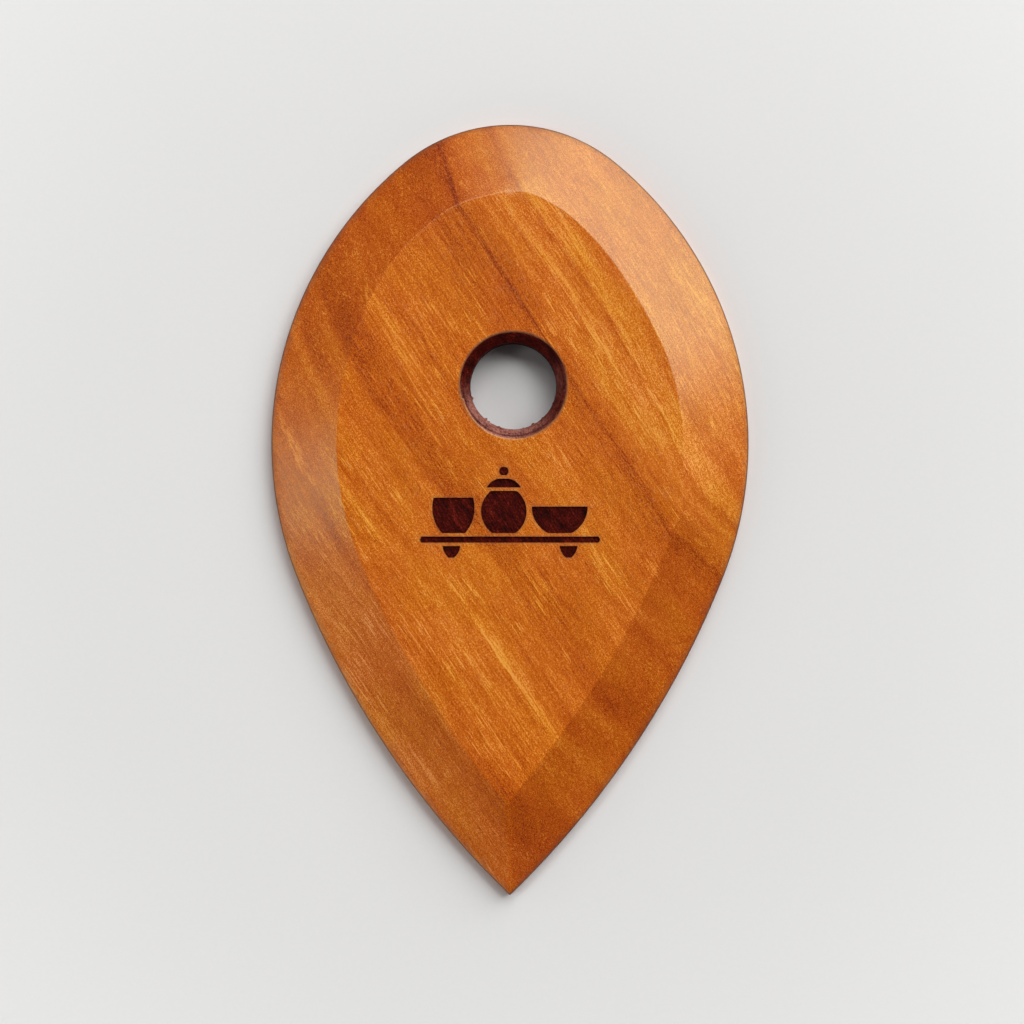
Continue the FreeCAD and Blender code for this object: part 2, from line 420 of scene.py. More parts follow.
def near(rows, points):
    """Each point's distance to the nearest point of the rows."""
    tree = kdtree.KDTree(len(rows))
    for number, (x, y) in enumerate(rows):
        tree.insert((x, y, 0), number)
    tree.balance()
    return np.array([tree.find((x, y, 0))[2] for x, y in points])


def grid(spacing, corner, opposite):
    """A grid of equilateral triangles' corners that fills a box."""
    rows = []
    rise = spacing * math.sqrt(0.75)
    for number in range(int((opposite[1] - corner[1]) / rise) + 1):
        shift = spacing / 2 * (number % 2)
        across = np.arange(corner[0] + shift, opposite[0], spacing)
        rows.append(np.stack([across, np.full(len(across), corner[1] + number * rise)], 1))
    return np.concatenate(rows)


def triangulate(loops, loose):
    """Triangles over all of the points, which keep the loops' edges."""
    points = np.concatenate([*loops, loose])
    edges = []
    start = 0
    for loop in loops:
        count = len(loop)
        edges += [(start + i, start + (i + 1) % count) for i in range(count)]
        start += count
    flat = [Vector(point) for point in points.tolist()]
    found = geometry.delaunay_2d_cdt(flat, edges, [], 0, 1e-7, True)
    first_of = [originals[0] for originals in found[3]]
    triangles = np.array([[first_of[corner] for corner in face] for face in found[2]])
    return points, triangles


class Shell:
    """The points and faces of one closed surface, in millimetres."""

    def __init__(self):
        self.points = []
        self.faces = []
        self.charred = []

    def add(self, places, heights):
        """Adds points and returns their numbers."""
        start = len(self.points)
        heights = np.broadcast_to(heights, len(places))
        self.points.extend(np.column_stack([places, heights]).tolist())
        return np.arange(start, len(self.points))

    def places(self, numbers):
        """Where the points with those numbers are, seen from above."""
        return np.array(self.points)[numbers, :2]

    def fill(self, faces, charred=False):
        """Adds faces, given by their points' numbers, counterclockwise seen from outside."""
        self.faces.extend(map(tuple, faces.tolist()))
        self.charred.extend([charred] * len(faces))

    def bridge(self, lower, upper, charred=False):
        """A band of squares between two closed rows of points, counterclockwise seen from above,
        that faces outwards."""
        after = np.roll(lower, -1), np.roll(upper, -1)
        self.fill(np.stack([lower, after[0], after[1], upper], 1), charred)

    def edge_band(self, row, places, heights):
        """Carries the outer edge down to a new row of points, and returns their numbers."""
        below = self.add(places, heights)
        self.bridge(below, row)
        return below

    def hole_band(self, row, places, heights, charred=True):
        """Carries the hole's wall inwards or down to a new row, and returns its numbers."""
        inner = self.add(places, heights)
        self.bridge(row, inner, charred)
        return inner


def ring_round_hole(radii):
    """A closed row of points round the thumb hole, at those distances from its axis."""
    return heading_points(HOLE_AT, radii, np.radians(HOLE_DIRECTIONS))


def hip_points():
    """Points along the hip above the tip, where the two sides' bevels meet."""
    rows = []
    for across in HIP_ROWS:
        first = TIP_END + HIP_START + HIP_SPREAD * abs(across)
        along = np.arange(first, HIP_END, HIP_SPACING)
        rows.append(np.stack([np.full(len(along), across), along], 1))
    return np.concatenate(rows)


def grid_points(fixed, loops, outer):
    """Points to fill the front between the rows: a coarse grid, and a fine one round the picture."""
    marks = np.concatenate(loops)
    fine = grid(MARK_GRID_SPACING, marks.min(0) - MARK_MARGIN, marks.max(0) + MARK_MARGIN)
    to_mark = near(marks, fine)
    fine = fine[(to_mark > MARK_SPACING * 0.6) & (to_mark < MARK_MARGIN)]
    coarse = grid(GRID_SPACING, [-HALF_WIDTH, TIP_END], [HALF_WIDTH, TOP_END])
    coarse = coarse[inside_loop(coarse, outer)]
    clear = near(fixed, coarse) > GRID_SPACING * 0.45
    clear &= near(fine, coarse) > GRID_SPACING * 0.6
    clear &= round_hole(coarse)[0] > HOLE_FIELD + 0.3
    return np.concatenate([coarse[clear], fine])


def loose_points(outer, field, loops):
    """The front's other points: beside the ridge and the hip, and between all of the rows."""
    ridges = np.concatenate([ridge_row(offset) for offset in RIDGE_ROWS])
    hips = hip_points()
    ridges = ridges[near(hips, ridges) > HIP_CLEARANCE]
    hips = hips[near(outer, hips) > EDGE_CLEARANCE]
    fixed = np.concatenate([outer, field, *loops, ridges, hips])
    return np.concatenate([ridges, hips, grid_points(fixed, loops, outer)])


def add_front(shell, outer, field):
    """The front, from the outer row to the row round the hole, with the picture let into it. It
    returns the numbers of those two rows' points."""
    loops = mark_loops()
    places, triangles = triangulate([outer, field, *loops], loose_points(outer, field, loops))
    triangles = triangles[round_hole(places[triangles].mean(1))[0] > HOLE_FIELD]
    centres = places[triangles].mean(1)
    sunk = np.any([inside_loop(centres, loop) for loop in loops], 0)
    front = shell.add(places, top_height(places))
    shell.fill(front[triangles[~sunk]])
    rough = sum(height * ripple(places, length, seed) for height, length, seed in FLOOR_WAVES)
    pocket = shell.add(places, THICKNESS - MARK_DEPTH + rough)
    shell.fill(pocket[triangles[sunk]], charred=True)
    start = len(outer) + len(field)
    for loop in loops:
        numbers = np.arange(start, start + len(loop))
        shell.bridge(front[numbers], pocket[numbers], charred=True)
        start += len(loop)
    return front[: len(outer)], front[len(outer) : len(outer) + len(field)]


def add_edge(shell, outer, row):
    """The outer edge, from the front's rounded corner down to the eased back. It returns the numbers
    of its last row."""
    front_edge = top_height(outer)
    for share in ARRIS_SHARES:
        lift = 2 * share * (1 - share) * EDGE_LAND + (1 - share) ** 2 * (EDGE_LAND - ARRIS_DROP)
        row = shell.edge_band(row, outline_row(ARRIS * share**2), share**2 * front_edge + lift)
    for height in EDGE_HEIGHTS:
        row = shell.edge_band(row, outline_row(0.0), height)
    for angle in np.radians(EDGE_EASING):
        places = outline_row(BACK_EASING * (1 - math.cos(angle)))
        row = shell.edge_band(row, places, BACK_EASING * (1 - math.sin(angle)))
    return row


def add_rim(shell, row, lip, rim):
    """The front's last rings, and the rim's cut down to the lip."""
    for share in FIELD_SHARES:
        places = ring_round_hole(rim + (HOLE_FIELD - rim) * share)
        row = shell.hole_band(row, places, top_height(places), charred=False)
    for share in np.linspace(1, 0, RIM_ROWS):
        places = ring_round_hole(lip + (rim - lip) * share)
        row = shell.hole_band(row, places, top_height(places), charred=share < 1)
    return row


def add_bore(shell, row, lip):
    """The bore from the lip, where the slivers thin out, to its eased corner at the back."""
    lip_height = top_height(ring_round_hole(lip))
    circle = heading_points(0, lip, np.radians(HOLE_DIRECTIONS))
    for depth in LIP_DEPTHS:
        kept = math.exp(-depth / BURR_DEPTH)
        rough = BORE_WAVE * ripple(circle, 0.9, depth * 2)
        radii = UNDER_LIP_RADIUS + (lip - UNDER_LIP_RADIUS) * kept + rough
        row = shell.hole_band(row, ring_round_hole(radii), lip_height - depth)
    for height in BORE_HEIGHTS:
        rough = BORE_WAVE * ripple(circle, 0.9, height)
        row = shell.hole_band(row, ring_round_hole(BORE_RADIUS + rough), height)
    for angle in np.radians(BORE_EASING):
        places = ring_round_hole(BORE_RADIUS + BACK_EASING * (1 - math.cos(angle)))
        row = shell.hole_band(row, places, BACK_EASING * (1 - math.sin(angle)))
    return row


def add_back(shell, edge_row, hole_row):
    """The flat back, between the last rows of the edge and of the hole."""
    edge, hole = shell.places(edge_row), shell.places(hole_row)
    inner = grid(BACK_SPACING, [-HALF_WIDTH, TIP_END], [HALF_WIDTH, TOP_END])
    inner = inner[inside_loop(inner, edge)]
    inner = inner[near(np.concatenate([edge, hole]), inner) > BACK_CLEARANCE]
    inner = inner[round_hole(inner)[0] > HOLE_RADIUS + BACK_CLEARANCE]
    places, triangles = triangulate([edge, hole], inner)
    from_hole = round_hole(places[triangles].mean(1))[0]
    triangles = triangles[from_hole > BORE_RADIUS + BACK_EASING]
    numbers = np.concatenate([edge_row, hole_row, shell.add(inner, 0.0)])
    shell.fill(numbers[triangles][:, ::-1])


def build_shell():
    shell = Shell()
    outer, field = outline_row(ARRIS), ring_round_hole(HOLE_FIELD)
    edge_row, hole_row = add_front(shell, outer, field)
    edge_row = add_edge(shell, outer, edge_row)
    lip, rim = lip_radius(HOLE_DIRECTIONS), rim_radius(HOLE_DIRECTIONS)
    hole_row = add_rim(shell, hole_row, lip, rim)
    hole_row = add_bore(shell, hole_row, lip)
    add_back(shell, edge_row, hole_row)
    return shell


def make_mesh(shell):
    """The shell as a mesh in metres, without the points that no face uses."""
    used = np.zeros(len(shell.points), bool)
    for face in shell.faces:
        used[list(face)] = True
    number_of = np.cumsum(used) - 1
    points = np.array(shell.points)[used] * MM
    faces = [[int(number_of[corner]) for corner in face] for face in shell.faces]
    mesh = bpy.data.meshes.new("potters_rib")
    mesh.from_pydata(points.tolist(), [], faces)
    mesh.polygons.foreach_set("use_smooth", [True] * len(faces))
    mesh.set_sharp_from_angle(angle=math.radians(SHARP_ANGLE))
    return mesh


# ---- Materials --------------------------------------------------------------------------------


class Recipe:
    """A material's nodes, made with short calls. Each value is a number, a tuple or a socket."""

    def __init__(self, name):
        self.material = bpy.data.materials.new(name)
        self.material.use_nodes = True
        self.tree = self.material.node_tree
        self.tree.nodes.clear()

    def node(self, kind, *values, **settings):
        """Adds a node, sets its properties by name and its inputs in order."""
        node = self.tree.nodes.new(kind)
        for name, value in settings.items():
            setattr(node, name, value)
        for socket, value in zip(node.inputs, values):
            self.give(socket, value)
        return node

    def give(self, socket, value):
        if isinstance(value, bpy.types.NodeSocket):
            self.tree.links.new(value, socket)
        else:
            socket.default_value = value

    def math(self, operation, *values):
        return self.node("ShaderNodeMath", *values, operation=operation).outputs[0]

    def total(self, *values):
        result = values[0]
        for value in values[1:]:
            result = self.math("ADD", result, value)
        return result

    def length(self, x, y):
        squares = [self.math("MULTIPLY", value, value) for value in (x, y)]
        return self.math("SQRT", self.math("ADD", *squares))

    def place(self):
        """The point being shaded, in millimetres."""
        return self.scaled(self.node("ShaderNodeTexCoord").outputs["Object"], 1 / MM)

    def scaled(self, vector, factor):
        node = self.node("ShaderNodeVectorMath", vector, operation="SCALE")
        node.inputs["Scale"].default_value = factor
        return node.outputs[0]

    def along(self, vector, direction):
        node = self.node("ShaderNodeVectorMath", vector, tuple(direction), operation="DOT_PRODUCT")
        return node.outputs["Value"]

    def vector(self, x, y, z):
        return self.node("ShaderNodeCombineXYZ", x, y, z).outputs[0]

    def stretched(self, grain, across, along, seed):
        """Grain coordinates divided by the size that a mark has across and along the fibres."""
        x = self.math("DIVIDE", grain[0], across)
        y = self.math("DIVIDE", grain[1], along)
        z = self.math("MULTIPLY_ADD", grain[2], 1 / across, seed)
        return self.vector(x, y, z)

    def noise(self, vector, detail=2.0, roughness=0.5):
        node = self.node("ShaderNodeTexNoise", noise_dimensions="3D")
        self.give(node.inputs["Vector"], vector)
        node.inputs["Scale"].default_value = 1.0
        node.inputs["Detail"].default_value = detail
        node.inputs["Roughness"].default_value = roughness
        return node.outputs["Fac"]

    def swing(self, fac, amount):
        """A noise's 0 to 1 as about -amount to amount."""
        return self.math("MULTIPLY_ADD", fac, 4 * amount, -2 * amount)

    def remap(self, value, start, end, low=0.0, high=1.0):
        """Goes smoothly from low to high while the value goes from start to end."""
        node = self.node("ShaderNodeMapRange", value, start, end, low, high)
        node.interpolation_type = "SMOOTHSTEP"
        return node.outputs["Result"]

    def ramp(self, value, stops):
        """A colour by value: stops are (position, colour)."""
        node = self.node("ShaderNodeValToRGB", value)
        ramp = node.color_ramp
        while len(ramp.elements) < len(stops):
            ramp.elements.new(1.0)
        for element, (position, colour) in zip(ramp.elements, stops):
            element.position = position
            element.color = (*colour, 1.0)
        return node.outputs["Color"]

    def mix(self, share, first, second, blend="MIX"):
        node = self.node("ShaderNodeMix", data_type="RGBA", blend_type=blend)
        self.give(node.inputs["Factor"], share)
        for name, value in (("A", first), ("B", second)):
            socket = next(s for s in node.inputs if s.name == name and s.type == "RGBA")
            self.give(socket, value if not isinstance(value, tuple) else (*value, 1.0))
        return next(s for s in node.outputs if s.type == "RGBA")

    def facing(self, way):
        """How much the surface faces along a direction, either way."""
        normal = self.node("ShaderNodeTexCoord").outputs["Normal"]
        return self.math("ABSOLUTE", self.along(normal, way))

    def attribute(self, name):
        return self.node("ShaderNodeAttribute", attribute_name=name).outputs["Fac"]

    def finish(self, colour, roughness, height, bump_depth, **constants):
        """Ends in one Principled shader. A height of 1 stands out by bump_depth, in millimetres."""
        bump = self.node("ShaderNodeBump")
        bump.inputs["Strength"].default_value = 1.0
        bump.inputs["Distance"].default_value = bump_depth * MM
        self.give(bump.inputs["Height"], height)
        shader = self.node("ShaderNodeBsdfPrincipled")
        self.give(shader.inputs["Base Color"], colour)
        self.give(shader.inputs["Roughness"], roughness)
        self.give(shader.inputs["Normal"], bump.outputs["Normal"])
        for name, value in constants.items():
            shader.inputs[name.replace("_", " ")].default_value = value
        self.node("ShaderNodeOutputMaterial", shader.outputs["BSDF"])
        return self.material


# The board was cut with its fibres running from the upper left to the lower right, and its growth
# rings leaning. Grain places are (across the rings, along the fibres, across the fibres in a ring).
GRAIN_TURN = math.radians(33)
RING_LEAN = 0.7
RINGS_WAY = (math.cos(GRAIN_TURN), math.sin(GRAIN_TURN), RING_LEAN)
FIBRE_WAY = (math.sin(GRAIN_TURN), -math.cos(GRAIN_TURN), 0.0)
WIDTH_WAY = tuple(Vector(RINGS_WAY).normalized().cross(Vector(FIBRE_WAY)))

# How the rings bend. To the left they make an S along the fibres: (its middle, its half-length, how
# far it goes sideways). To the right they are parabolas: (their top, their length, curvature).
LEFT_BEND = (-3, 12, 1.3)
LEFT_BEND_FADE = (4, 12)  # the places across between which the S dies away
RIGHT_BEND = (-22, 36, -0.0028)
RIGHT_BEND_START = (18.5, 25)  # the places across between which the parabolas begin
RING_WAVES = (9, 26, 4.0)  # size across, size along, seed
RING_WAVE_HEIGHT = 0.25

# The growth rings, as (place across, tone): 0 is the deepest brown and 1 the palest gold.
RINGS = (
    (-38, 0.75),
    (-30, 0.52),
    (-23, 0.46),
    (-20, 0.62),
    (-15, 0.52),
    (-14, 0.85),
    (-13, 0.72),
    (-10, 0.44),
    (-8, 0.68),
    (-6, 0.16),
    (-4, 0.24),
    (-1, 0.50),
    (1.5, 0.62),
    (4, 0.42),
    (6, 0.60),
    (10, 0.54),
    (12, 0.34),
    (16, 0.32),
    (17.5, 0.12),
    (18.0, 0.0),
    (18.2, 0.0),
    (18.6, 0.36),
    (20, 0.52),
    (22, 0.82),
    (24, 0.68),
    (24.9, 1.0),
    (26, 0.80),
    (27.5, 0.55),
    (28.3, 1.0),
    (30, 0.88),
    (32, 0.60),
    (36, 0.75),
)
RING_SPAN = 80.0  # the ramp runs from -40 to 40 across the rings

# Thin dark lines where a year's growth stopped, as (place across, tone).
GROWTH_LINES = (
    (18.05, -0.34),
    (27.3, -0.20),
)

# Marks that only one place has, in grain places: (across, along, half-width, half-length, tone).
FIGURES = (
    (0.8, -33, 2.0, 10, 0.50),
    (3.4, -38, 0.9, 5, 0.35),
    (-22.3, -24, 1.2, 9, 0.60),
    (-17.8, -11, 0.7, 8, 0.35),
    (-14.0, 18, 0.8, 16, 0.60),
    (10.4, -3, 0.8, 7, 0.60),
    (24.7, -23, 0.6, 16, 0.55),
    (27.8, -2, 0.5, 13, 0.65),
    (29.6, -30, 0.8, 10, 0.40),
    (-34.5, 28, 0.7, 12, 0.55),
    (-11.7, -35, 1.5, 9, -0.55),
    (-4.0, -34, 2.2, 7, -0.45),
    (19.3, -28, 1.8, 13, -0.25),
    (0.0, 20, 1.6, 8, -0.15),
    (-3.5, 12, 2.5, 8, 0.30),
    (-31.0, 18, 5.0, 17, -0.32),
    (9.0, 20, 2.2, 8, -0.25),
    (-23.5, -9, 1.2, 9, -0.45),
    (-18.0, 28, 2.2, 14, 0.30),
    (-36.0, 38, 2.6, 12, -0.40),
    (-26.0, 37, 5.0, 13, -0.50),
    (-27.0, -12, 3.0, 8, 0.35),
    (21.0, 14, 1.2, 12, -0.30),
)

# The marks that the wood has everywhere, and those of burned wood, as noises: (size across the
# fibres, size along them, seed, detail, roughness).
CHERRY_MARKS = {
    "clouds": (3.2, 20, 1.0, 2, 0.5),
    "streaks": (0.40, 7.0, 2.0, 3, 0.65),
    "flecks": (0.24, 4.6, 3.0, 1, 0.5),
    "fibres": (0.12, 2.4, 5.0, 1, 0.5),
    "stipple": (0.11, 0.22, 7.0, 0, 0.5),
    "patches": (7, 13, 9.0, 3, 0.5),
    "clusters": (4.5, 11, 6.0, 1, 0.5),
    "dashes": (0.19, 4.2, 8.0, 0, 0.5),
}
CHAR_MARKS = {
    "crumbs": (0.22, 0.30, 1.0, 3, 0.65),
    "fibres": (0.3, 2.5, 2.0, 2, 0.5),
    "soot": (1.6, 2.4, 3.0, 2, 0.5),
}

# How much each mark changes the tone, either way.
CHERRY_SWINGS = {"clouds": 0.24, "streaks": 0.30, "fibres": 0.42, "stipple": 0.58}
CHAR_SWINGS = {"crumbs": 0.50, "fibres": 0.25, "soot": 0.25}

# Colours by tone, from the darkest to the palest.
CHERRY_COLOURS = (
    (0.0, (0.22, 0.022, 0.001)),
    (0.12, (0.38, 0.056, 0.001)),
    (0.25, (0.455, 0.081, 0.002)),
    (0.5, (0.575, 0.126, 0.004)),
    (0.75, (0.715, 0.193, 0.011)),
    (1.0, (0.87, 0.36, 0.055)),
)
CHAR_COLOURS = (
    (0.0, (0.009, 0.0006, 0.0003)),
    (0.45, (0.048, 0.0022, 0.001)),
    (0.8, (0.115, 0.007, 0.003)),
    (1.0, (0.20, 0.022, 0.010)),
)
# Colours of the painted sheen on the burned rim's lit side, from dull to bright.
RIM_SHEEN_COLOURS = (
    (0.0, (0.10, 0.02, 0.015)),
    (0.5, (0.34, 0.13, 0.10)),
    (1.0, (0.52, 0.26, 0.20)),
)
SCORCH_COLOUR = (0.045, 0.010, 0.006)

# What multiplies the wood's colour in some places.
TINTS = {
    "redder": (1.0, 0.96, 1.16),
    "golden": (1.0, 1.04, 0.86),
    "deeper": (1.0, 0.94, 0.82),
    "milkier": (1.03, 1.06, 1.28),
    "pinker": (0.97, 0.94, 1.32),
    "end_grain": (0.71, 0.56, 0.42),
}


def grain_of(recipe):
    """Where the point being shaded is in the grain. The grain's middle is on the flat."""
    on_flat = (0, 0, -THICKNESS)
    place = recipe.node("ShaderNodeVectorMath", recipe.place(), on_flat, operation="ADD").outputs[0]
    return [recipe.along(place, way) for way in (RINGS_WAY, FIBRE_WAY, WIDTH_WAY)]


def bend_of(recipe, grain):
    """How far the rings bend sideways from straight lines, by place."""
    across, along = grain[:2]
    middle, half_length, swing = LEFT_BEND
    swirl = recipe.math("MULTIPLY_ADD", along, 1 / half_length, -middle / half_length)
    sideways = recipe.remap(across, *LEFT_BEND_FADE, swing, 0.0)
    left = recipe.math("MULTIPLY", recipe.math("TANH", swirl), sideways)
    top, length, curvature = RIGHT_BEND
    reach = recipe.math("MINIMUM", recipe.math("SUBTRACT", along, top), length)
    right = recipe.math("MULTIPLY", recipe.math("MULTIPLY", reach, reach), curvature)
    to_right = recipe.remap(across, *RIGHT_BEND_START)
    bend = recipe.total(
        recipe.math("MULTIPLY", left, recipe.math("SUBTRACT", 1, to_right)),
        recipe.math("MULTIPLY", right, to_right),
    )
    wave = recipe.noise(recipe.stretched(grain, *RING_WAVES), detail=1)
    return recipe.math("ADD", bend, recipe.swing(wave, RING_WAVE_HEIGHT))


def marks_of(recipe, grain, sizes):
    """The noises that a table of marks describes, by name."""
    return {
        name: recipe.noise(recipe.stretched(grain, across, along, seed), detail, roughness)
        for name, (across, along, seed, detail, roughness) in sizes.items()
    }


def swings_of(recipe, marks, amounts):
    return [recipe.swing(marks[name], amount) for name, amount in amounts.items()]


def ring_tone(recipe, grain):
    position = recipe.math("MULTIPLY_ADD", grain[0], 1 / RING_SPAN, 0.5)
    stops = [(0.5 + across / RING_SPAN, (tone, tone, tone)) for across, tone in RINGS]
    return recipe.node("ShaderNodeSeparateColor", recipe.ramp(position, stops)).outputs[0]


def figure_tone(recipe, grain, streaks):
    """The single marks: long soft patches, broken up by the streaks."""
    tone = 0.0
    unbroken = recipe.remap(streaks, 0.42, 0.62, 0.15, 1.3)
    for across, along, half_width, half_length, amount in FIGURES:
        x = recipe.math("MULTIPLY_ADD", grain[0], 1 / half_width, -across / half_width)
        y = recipe.math("MULTIPLY_ADD", grain[1], 1 / half_length, -along / half_length)
        patch = recipe.remap(recipe.length(x, y), 0.3, 1.2, 1.0, 0.0)
        tone = recipe.math("MULTIPLY_ADD", recipe.math("MULTIPLY", patch, unbroken), amount, tone)
    return tone


def growth_line_tone(recipe, grain, streaks):
    """The thin dark lines, broken up by the streaks. They fade towards the pointed end."""
    tone = 0.0
    for across, amount in GROWTH_LINES:
        away = recipe.math("ABSOLUTE", recipe.math("SUBTRACT", grain[0], across))
        line = recipe.remap(away, 0.05, 0.55, 1.0, 0.0)
        tone = recipe.math("MULTIPLY_ADD", line, amount, tone)
    tone = recipe.math("MULTIPLY", tone, recipe.remap(streaks, 0.38, 0.60, 1.35, 0.45))
    return recipe.math("MULTIPLY", tone, recipe.remap(grain[1], -4, -22, 0.2, 1.0))


def cherry_tone(recipe, grain, marks, pores):
    """How pale the wood is, from 0 to 1."""
    in_clusters = recipe.remap(marks["clusters"], 0.50, 0.62)
    dashes = recipe.math("MULTIPLY", recipe.remap(marks["dashes"], 0.62, 0.72), in_clusters)
    tone = recipe.total(
        ring_tone(recipe, grain),
        figure_tone(recipe, grain, marks["streaks"]),
        growth_line_tone(recipe, grain, marks["streaks"]),
        *swings_of(recipe, marks, CHERRY_SWINGS),
        recipe.math("MULTIPLY", dashes, 0.85),
        recipe.math("MULTIPLY", recipe.remap(marks["flecks"], 0.60, 0.74), 0.20),
        recipe.math("MULTIPLY", pores, -0.25),
    )
    return recipe.math("MULTIPLY_ADD", tone, 0.5, 0.25)


def tinted(recipe, colour, grain, patches):
    """The wood's colour with its tints: by patches, by place, and where its fibres are cut across."""
    across, along = grain[:2]
    from_middle = recipe.math("ABSOLUTE", recipe.math("SUBTRACT", along, 2))
    shares = {
        "redder": recipe.remap(patches, 0.42, 0.66),
        "golden": recipe.remap(patches, 0.56, 0.36),
        "deeper": recipe.math("ADD", recipe.remap(along, -10, -26), recipe.remap(along, 20, 36)),
        "milkier": recipe.remap(from_middle, 16, 4),
        "pinker": recipe.remap(across, -20, -28),
        "end_grain": recipe.remap(recipe.facing(FIBRE_WAY), 0.12, 0.5),
    }
    for name, share in shares.items():
        colour = recipe.mix(share, colour, TINTS[name], "MULTIPLY")
    return colour


def oiled_cherry():
    recipe = Recipe("oiled_cherry")
    grain = grain_of(recipe)
    grain[0] = recipe.math("SUBTRACT", grain[0], bend_of(recipe, grain))
    marks = marks_of(recipe, grain, CHERRY_MARKS)
    streaks, stipple = marks["streaks"], marks["stipple"]
    pores = recipe.remap(marks["fibres"], 0.62, 0.74)

    colour = recipe.ramp(cherry_tone(recipe, grain, marks, pores), CHERRY_COLOURS)
    colour = tinted(recipe, colour, grain, marks["patches"])
    scorch = recipe.attribute("scorch")
    colour = recipe.mix(scorch, colour, SCORCH_COLOUR)
    roughness = recipe.total(0.26, recipe.swing(stipple, 0.04), recipe.swing(streaks, 0.03))
    roughness = recipe.math("MULTIPLY_ADD", scorch, 0.5, roughness)
    height = recipe.total(
        recipe.swing(streaks, 0.20),
        recipe.swing(stipple, 0.12),
        recipe.math("MULTIPLY", pores, -0.5),
    )
    sheen = {"IOR": 1.61, "Specular_Tint": (0.56, 1.0, 0.75, 1.0)}
    return recipe.finish(colour, roughness, height, bump_depth=0.012, **sheen)


def charred_cherry_and_sheen():
    """Burned wood: a deep red black, with a painted pinkish sheen where the rim faces the light."""
    recipe = Recipe("charred_cherry_and_sheen")
    marks = marks_of(recipe, grain_of(recipe), CHAR_MARKS)
    tone = recipe.total(0.45, *swings_of(recipe, marks, CHAR_SWINGS))
    char, rim_sheen = recipe.ramp(tone, CHAR_COLOURS), recipe.ramp(tone, RIM_SHEEN_COLOURS)
    # Painted sheen: pinkish colours laid over the char where the rim faces the light.
    colour = recipe.mix(recipe.attribute("rim_sheen"), char, rim_sheen)
    crumbs = marks["crumbs"]
    roughness = recipe.math("ADD", 0.6, recipe.swing(crumbs, 0.1))
    height = recipe.math("ADD", recipe.swing(crumbs, 0.6), recipe.swing(marks["fibres"], 0.4))
    return recipe.finish(colour, roughness, height, bump_depth=0.05, IOR=1.13)


def table_paint_and_shade():
    """Matt pale paint, faintly mottled, with painted shade: darker round the middle, lighter further
    out.
    """
    recipe = Recipe("pale_table")
    place = recipe.place()
    mottle = recipe.noise(recipe.scaled(place, 0.02))
    speck = recipe.noise(recipe.scaled(place, 1.4))
    radius = recipe.node("ShaderNodeVectorMath", place, operation="LENGTH").outputs["Value"]
    # Painted light and shade: the table is painted lighter with distance from the middle.
    painted_light_outwards = recipe.remap(radius, 55, 130, 0.0, 0.45)
    shade = recipe.total(0.47, painted_light_outwards, recipe.swing(mottle, 0.03), recipe.swing(speck, 0.03))
    colour = recipe.ramp(shade, ((0.0, (0.70, 0.70, 0.70)), (1.0, (0.90, 0.90, 0.90))))
    return recipe.finish(colour, 0.75, speck, bump_depth=0.01, IOR=1.4)


# ---- The rib ----------------------------------------------------------------------------------


def rim_sheen_towards(directions):
    """How much painted sheen the hole's burned rim has in those directions, towards its lit side."""
    amount = np.zeros(len(directions))
    for at, spread, rim_sheen in RIM_SHEEN_PLACES:
        amount += rim_sheen * np.exp(-((turned_from(directions, at) / spread) ** 2))
    return np.minimum(amount, 1)


def scorch_amounts(points):
    """How much the wood is browned at each point: beside the burned cuts and on the edge."""
    flat, height = points[:, :2], points[:, 2]
    right, left = side_distance(flat, 1)[0], side_distance(flat, -1)[0]
    edge = 1 - smooth_step(np.minimum(right, left), *EDGE_SCORCH_REACH)
    edge *= EDGE_SCORCH + ARRIS_SCORCH * smooth_step(height, ARRIS_SCORCH_START, EDGE_LAND)
    radius, directions = round_hole(flat)
    hole = HOLE_SCORCH * (1 - smooth_step(radius, RIM_RADIUS - 0.05, RIM_RADIUS + HOLE_SCORCH_REACH))
    # Painted light: less browning towards the rim's lit side, where it has painted sheen.
    hole *= 1 - rim_sheen_towards(directions)
    from_mark = near(np.concatenate(mark_loops()), flat)
    mark = MARK_SCORCH * np.exp(-from_mark / MARK_SCORCH_REACH)
    return np.maximum.reduce([edge, hole, mark])


def rim_sheen_amounts(points):
    """How much painted sheen the burned rim has at each point, with a dark line near its outer edge.
    """
    radius, directions = round_hole(points[:, :2])
    upper = smooth_step(points[:, 2], WALL_TOP - 0.3, WALL_TOP + 0.2)
    start, full, fading, end = (RIM_RADIUS - inset for inset in RIM_LINE)
    line = smooth_step(radius, start, full) * (1 - smooth_step(radius, fading, end))
    amount = rim_sheen_towards(directions) * upper * (1 - RIM_LINE_DARKNESS * line)
    return np.where(radius < RIM_RADIUS + 0.5, amount, 0)


def set_amounts(mesh, name, amounts):
    mesh.attributes.new(name, "FLOAT", "POINT").data.foreach_set("value", amounts)


def make_rib():
    shell = build_shell()
    mesh = make_mesh(shell)
    mesh.materials.append(oiled_cherry())
    mesh.materials.append(charred_cherry_and_sheen())
    mesh.polygons.foreach_set("material_index", [int(charred) for charred in shell.charred])
    points = np.array([vertex.co for vertex in mesh.vertices]) / MM
    set_amounts(mesh, "scorch", scorch_amounts(points))
    # The burned rim's painted sheen, point by point.
    set_amounts(mesh, "rim_sheen", rim_sheen_amounts(points))
    rib = bpy.data.objects.new("potters_rib", mesh)
    bpy.context.collection.objects.link(rib)
    return rib


# ---- Floor, lights and camera -----------------------------------------------------------------

TABLE_REACH = 1500
TABLE_GAP = 0.02  # the table lies that little below the rib, so that their faces don't coincide

LENS = 100
SENSOR_WIDTH = 36
CAMERA_OVER = (0.3, -0.3)  # the place that the camera is straight above
CAMERA_RISE = 421.7  # above the working edge

# The studio's brightness by the sine of the height angle, and its tint.
WALLS = ((0.0, 1.0), (0.22, 0.9), (0.48, 0.05))
WALL_TINT = (0.97, 0.99, 1.0)

LIGHT_COLOUR = (1.0, 0.99, 0.975)

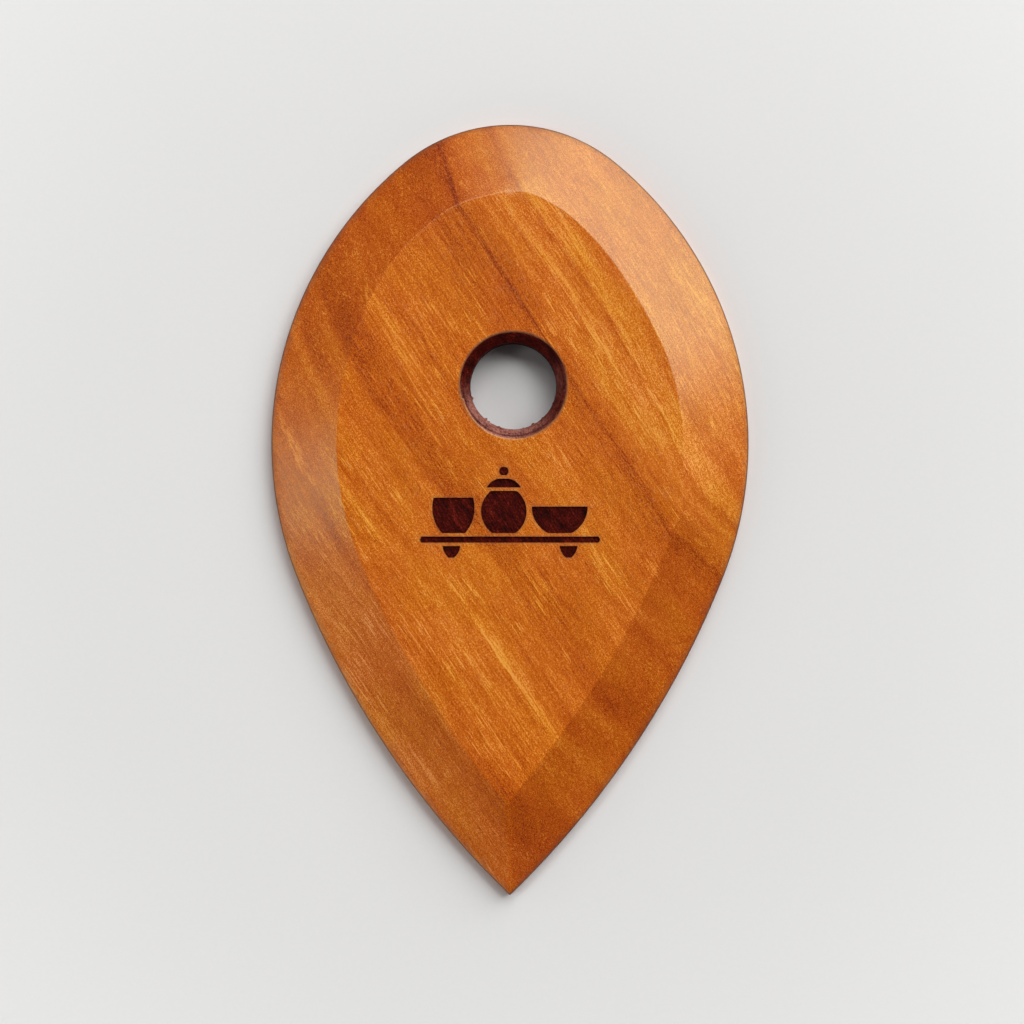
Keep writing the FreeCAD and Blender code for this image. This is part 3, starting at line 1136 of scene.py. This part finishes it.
# Soft lights: (azimuth, height angle, distance, width, height, share of the table's light), with
# lengths in metres. The azimuth is 0 to the right and 90 towards the round end.
SOFTBOXES = {
    "window": (54, 48, 4.0, 4.4, 2.25, 0.555),
    "skylight": (80, 64, 4.0, 3.6, 0.9, 0.165),
    "window_foot": (50, 23, 4.0, 3.6, 1.2, 0.14),
    "reflector": (186, 44, 4.0, 1.0, 1.0, 0.044),
    "wall_bounce": (195, 15, 4.0, 9.0, 1.8, 0.08),
}


def make_table():
    mesh = bpy.data.meshes.new("table")
    reach = TABLE_REACH * MM
    corners = [(-reach, -reach, 0), (reach, -reach, 0), (reach, reach, 0), (-reach, reach, 0)]
    mesh.from_pydata(corners, [], [(0, 1, 2, 3)])
    mesh.materials.append(table_paint_and_shade())
    table = bpy.data.objects.new("table", mesh)
    table.location.z = -TABLE_GAP * MM
    bpy.context.collection.objects.link(table)
    return table


def add_softbox(name, azimuth, rise, distance, width, height, share):
    """A soft light that faces the rib, and gives that share of the light on the table."""
    data = bpy.data.lights.new(name, "AREA")
    data.shape = "RECTANGLE"
    data.size, data.size_y = width, height
    azimuth, rise = math.radians(azimuth), math.radians(rise)
    data.energy = share * (math.pi * distance) ** 2 / math.sin(rise)
    data.color = LIGHT_COLOUR
    light = bpy.data.objects.new(name, data)
    level = math.cos(rise)
    way = Vector((level * math.cos(azimuth), level * math.sin(azimuth), math.sin(rise)))
    light.location = way * distance
    light.visible_camera = False
    light.rotation_euler = way.to_track_quat("Z", "Y").to_euler()
    bpy.context.collection.objects.link(light)


def add_studio_walls():
    """Light from all round: pale walls low down, and a dark ceiling."""
    world = bpy.data.worlds.new("studio")
    world.use_nodes = True
    nodes, links = world.node_tree.nodes, world.node_tree.links
    direction = nodes.new("ShaderNodeTexCoord").outputs["Generated"]
    split = nodes.new("ShaderNodeSeparateXYZ")
    links.new(direction, split.inputs[0])
    ramp = nodes.new("ShaderNodeValToRGB")
    ramp.color_ramp.interpolation = "EASE"
    ramp.color_ramp.elements.new(0.5)
    for element, (rise, shade) in zip(ramp.color_ramp.elements, WALLS):
        element.position = rise
        element.color = (*(shade * part for part in WALL_TINT), 1.0)
    links.new(split.outputs["Z"], ramp.inputs[0])
    links.new(ramp.outputs["Color"], nodes["Background"].inputs["Color"])
    bpy.context.scene.world = world


def light_scene():
    for name, softbox in SOFTBOXES.items():
        add_softbox(name, *softbox)
    add_studio_walls()


def add_camera():
    """Straight above the rib, far enough for it to fill three quarters of the picture's height."""
    data = bpy.data.cameras.new("camera")
    data.lens = LENS
    data.sensor_width = SENSOR_WIDTH
    data.clip_start = 10 * MM
    camera = bpy.data.objects.new("camera", data)
    camera.location = Vector((*CAMERA_OVER, EDGE_LAND + CAMERA_RISE)) * MM
    bpy.context.collection.objects.link(camera)
    bpy.context.scene.camera = camera


rib = make_rib()
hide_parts(NODE)
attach(rib, BODY)
make_table()
light_scene()
add_camera()
bpy.context.scene.view_settings.view_transform = "Standard"
